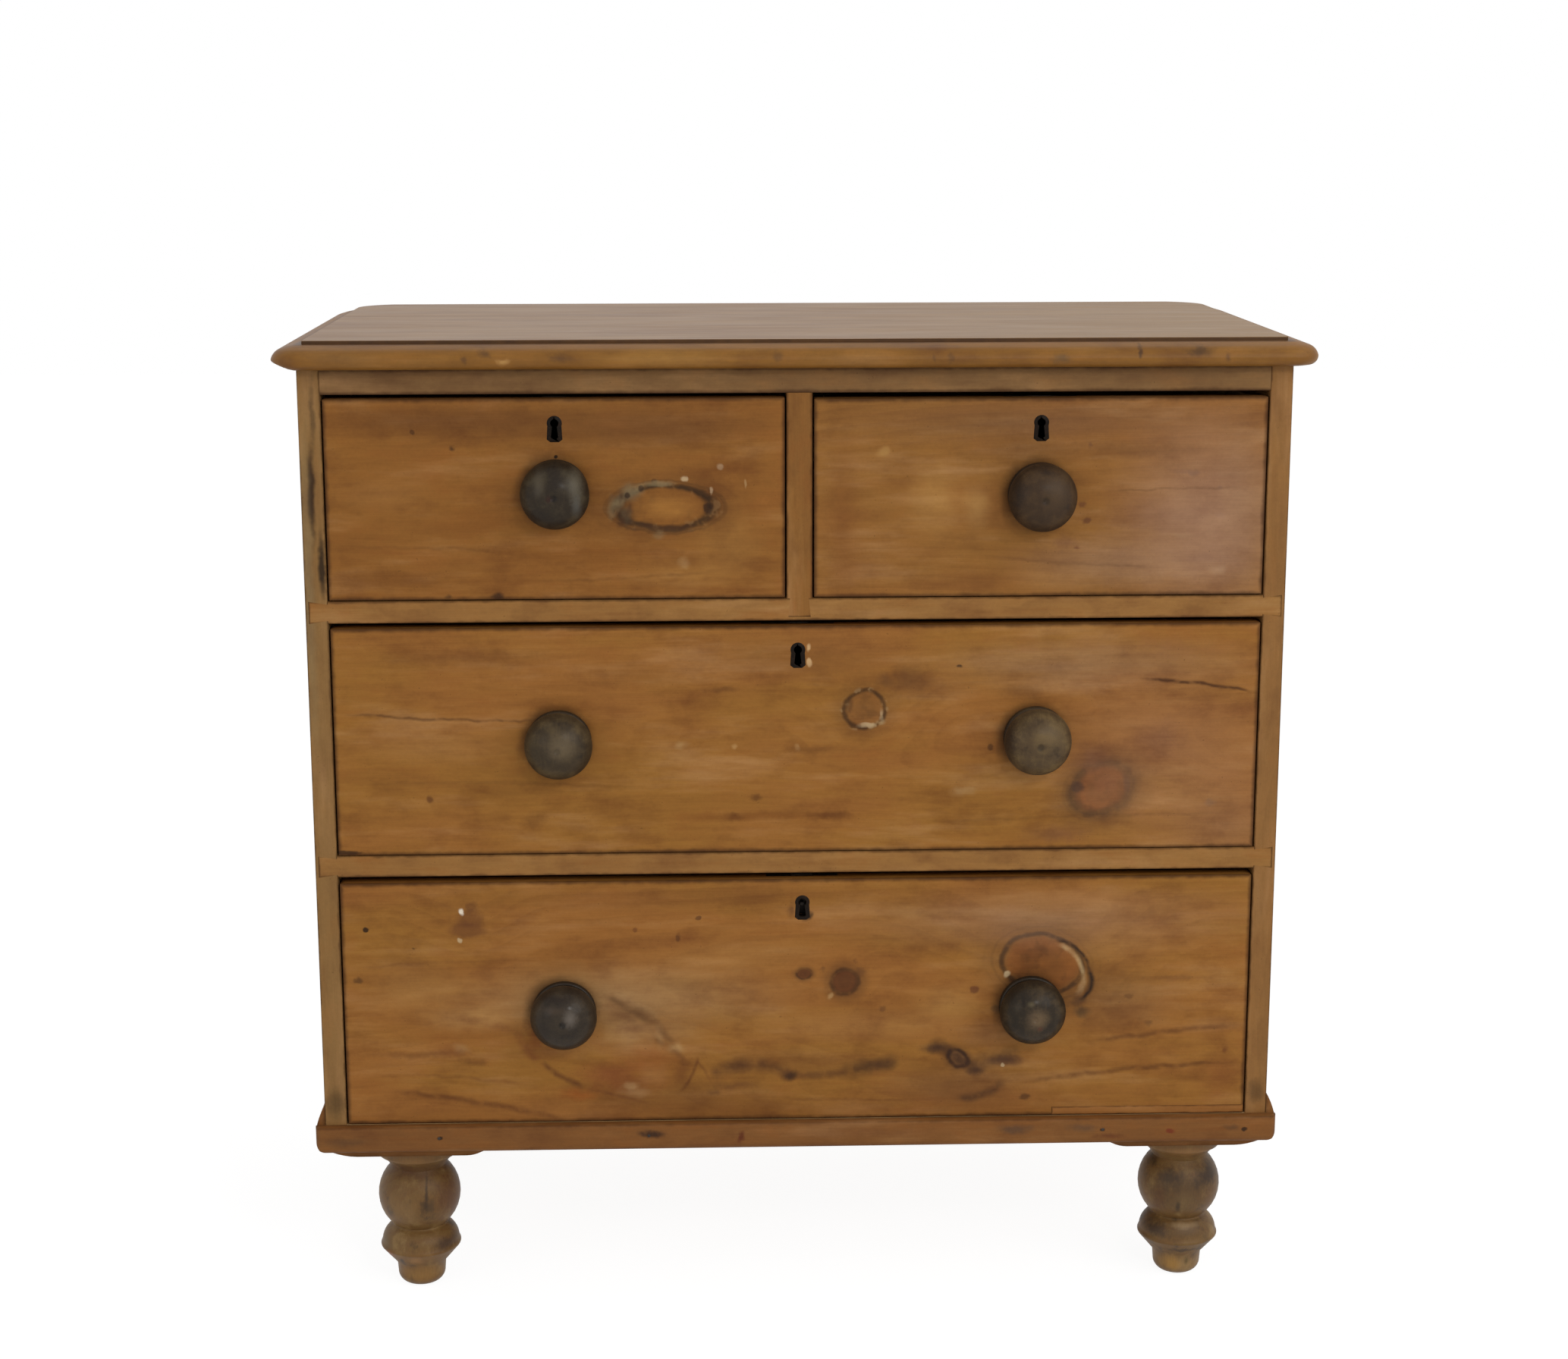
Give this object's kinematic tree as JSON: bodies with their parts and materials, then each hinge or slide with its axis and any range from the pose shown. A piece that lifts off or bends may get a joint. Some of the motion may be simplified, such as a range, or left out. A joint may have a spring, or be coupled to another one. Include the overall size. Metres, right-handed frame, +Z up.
{
  "type": "bachelors chest",
  "caption": "Pine bachelors chest with short drawers over long ones, a thumb-moulded top, a plain base moulding and turned feet, with turned knobs and small locks.",
  "frame": {"origin": "middle of the footprint on the floor", "axes": "+Z up from the floor, +X along the drawers towards the right as seen from the front, +Y from the drawer fronts towards the back"},
  "size_m": [0.924, 0.496, 0.905],
  "materials": {
    "front_pine": "old pine, waxed to a soft sheen",
    "carcass_pine": "old pine, waxed, paler and greyer",
    "top_pine": "old pine, waxed and worn",
    "raw_pine": "old pine, unfinished",
    "foot_wood": "turned pine, waxed",
    "knob_wood": "turned hardwood, dark and worn",
    "iron": "dark iron with a dull skin"
  },
  "bodies": {
    "carcass": {"back_boards": "raw_pine", "base_moulding_front": "carcass_pine", "base_moulding_left": "carcass_pine", "base_moulding_right": "carcass_pine", "bottom_board": "carcass_pine", "centre_guide": "raw_pine", "divider_post": "carcass_pine", "drawer_stops": "raw_pine", "foot_back_left": "foot_wood", "foot_back_right": "foot_wood", "foot_blocks": "carcass_pine", "foot_front_left": "foot_wood", "foot_front_right": "foot_wood", "kickers": "raw_pine", "lower_rail": "carcass_pine", "runner_lower_left": "raw_pine", "runner_lower_right": "raw_pine", "runner_upper_centre": "raw_pine", "runner_upper_left": "raw_pine", "runner_upper_right": "raw_pine", "side_left": "carcass_pine", "side_right": "carcass_pine", "top_board": "top_pine", "top_rail": "carcass_pine", "upper_rail": "carcass_pine"},
    "left_drawer": {"left_drawer_back": "raw_pine", "left_drawer_bottom_panel": "raw_pine", "left_drawer_front": "front_pine", "left_drawer_knob": "knob_wood", "left_drawer_lock": "iron", "left_drawer_side_left": "raw_pine", "left_drawer_side_right": "raw_pine"},
    "left_drawer_lock_bolt": {"left_drawer_bolt": "iron"},
    "right_drawer": {"right_drawer_back": "raw_pine", "right_drawer_bottom_panel": "raw_pine", "right_drawer_front": "front_pine", "right_drawer_knob": "knob_wood", "right_drawer_lock": "iron", "right_drawer_side_left": "raw_pine", "right_drawer_side_right": "raw_pine"},
    "right_drawer_lock_bolt": {"right_drawer_bolt": "iron"},
    "middle_drawer": {"middle_drawer_back": "raw_pine", "middle_drawer_bottom_panel": "raw_pine", "middle_drawer_front": "front_pine", "middle_drawer_knob_left": "knob_wood", "middle_drawer_knob_right": "knob_wood", "middle_drawer_lock": "iron", "middle_drawer_side_left": "raw_pine", "middle_drawer_side_right": "raw_pine"},
    "middle_drawer_lock_bolt": {"middle_drawer_bolt": "iron"},
    "bottom_drawer": {"bottom_drawer_back": "raw_pine", "bottom_drawer_bottom_panel": "raw_pine", "bottom_drawer_front": "front_pine", "bottom_drawer_knob_left": "knob_wood", "bottom_drawer_knob_right": "knob_wood", "bottom_drawer_lock": "iron", "bottom_drawer_patch": "front_pine", "bottom_drawer_side_left": "raw_pine", "bottom_drawer_side_right": "raw_pine"},
    "bottom_drawer_lock_bolt": {"bottom_drawer_bolt": "iron"}
  },
  "joints": [
    {"name": "left_drawer_slide", "type": "slide", "parent": "carcass", "child": "left_drawer", "axis": [0, -1, 0], "range_m": [0, 0.33]},
    {"name": "right_drawer_slide", "type": "slide", "parent": "carcass", "child": "right_drawer", "axis": [0, -1, 0], "range_m": [0, 0.33]},
    {"name": "middle_drawer_slide", "type": "slide", "parent": "carcass", "child": "middle_drawer", "axis": [0, -1, 0], "range_m": [0, 0.33]},
    {"name": "bottom_drawer_slide", "type": "slide", "parent": "carcass", "child": "bottom_drawer", "axis": [0, -1, 0], "range_m": [0, 0.33]},
    {"name": "left_drawer_lock_slide", "type": "slide", "parent": "left_drawer", "child": "left_drawer_lock_bolt", "axis": [0, 0, 1], "range_m": [0, 0.009]},
    {"name": "right_drawer_lock_slide", "type": "slide", "parent": "right_drawer", "child": "right_drawer_lock_bolt", "axis": [0, 0, 1], "range_m": [0, 0.009]},
    {"name": "middle_drawer_lock_slide", "type": "slide", "parent": "middle_drawer", "child": "middle_drawer_lock_bolt", "axis": [0, 0, 1], "range_m": [0, 0.009]},
    {"name": "bottom_drawer_lock_slide", "type": "slide", "parent": "bottom_drawer", "child": "bottom_drawer_lock_bolt", "axis": [0, 0, 1], "range_m": [0, 0.009]}
  ]
}
